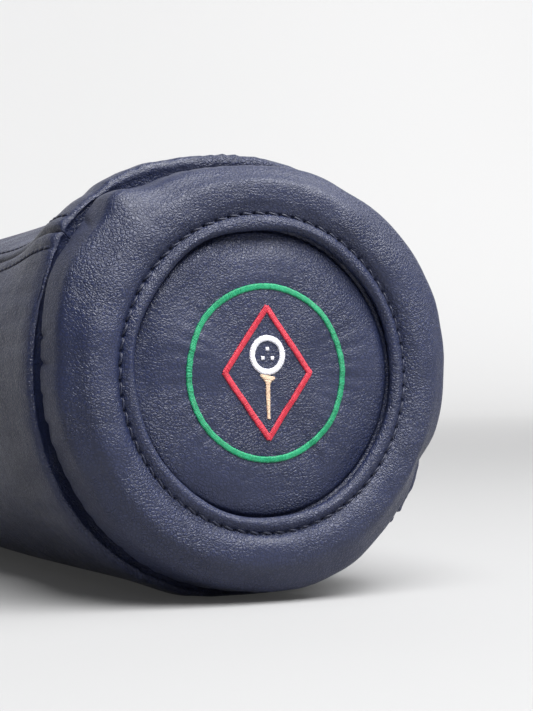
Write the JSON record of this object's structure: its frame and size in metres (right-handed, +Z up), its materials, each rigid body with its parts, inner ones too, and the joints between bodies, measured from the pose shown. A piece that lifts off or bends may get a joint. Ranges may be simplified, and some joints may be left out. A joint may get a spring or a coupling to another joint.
{
  "type": "golf club head cover",
  "caption": "Barrel-shaped soft leather travel case for a golf club head: closed padded round end with plain embroidery, tapered sleeve, fleece lining and open elasticated mouth.",
  "frame": {"origin": "on the table under the middle of the barrel, as it lies on its side", "axes": "+Y along the barrel from the closed embroidered end to the open mouth, +X to the right seen from the closed end, +Z up"},
  "size_m": [0.12, 0.3242, 0.1186],
  "materials": {
    "leather": "soft grained navy leather, satin",
    "navy_thread": "bonded thread, slight sheen",
    "tape": "woven seam tape",
    "foam": "soft closed-cell foam, matte",
    "fleece": "short plush fleece",
    "elastic": "woven elastic, matte",
    "label": "plain woven label",
    "board": "flat stiffener board",
    "backing": "non-woven embroidery backing",
    "green_thread": "satin-stitched rayon, sheen",
    "red_thread": "satin-stitched rayon, sheen",
    "white_thread": "satin-stitched rayon, sheen",
    "tan_thread": "satin-stitched rayon, sheen"
  },
  "bodies": {
    "root": {"body_panel_upper": "leather", "body_panel_lower": "leather", "seam_tape_left": "tape", "seam_tape_right": "tape", "seam_topstitch_left": "navy_thread", "seam_topstitch_right": "navy_thread", "body_foam": "foam", "body_lining": "fleece", "mouth_elastic": "elastic", "mouth_facing": "leather", "mouth_topstitch": "navy_thread", "care_label": "label", "end_ring_leather": "leather", "end_ring_foam": "foam", "end_ring_topstitch": "navy_thread", "end_seam_stitches": "navy_thread", "end_disc_leather": "leather", "end_disc_foam": "foam", "end_disc_board": "board", "end_lining": "fleece", "embroidery_backing": "backing", "embroidery_ring": "green_thread", "embroidery_diamond": "red_thread", "embroidery_ball": "white_thread", "embroidery_tee": "tan_thread"}
  },
  "joints": []
}
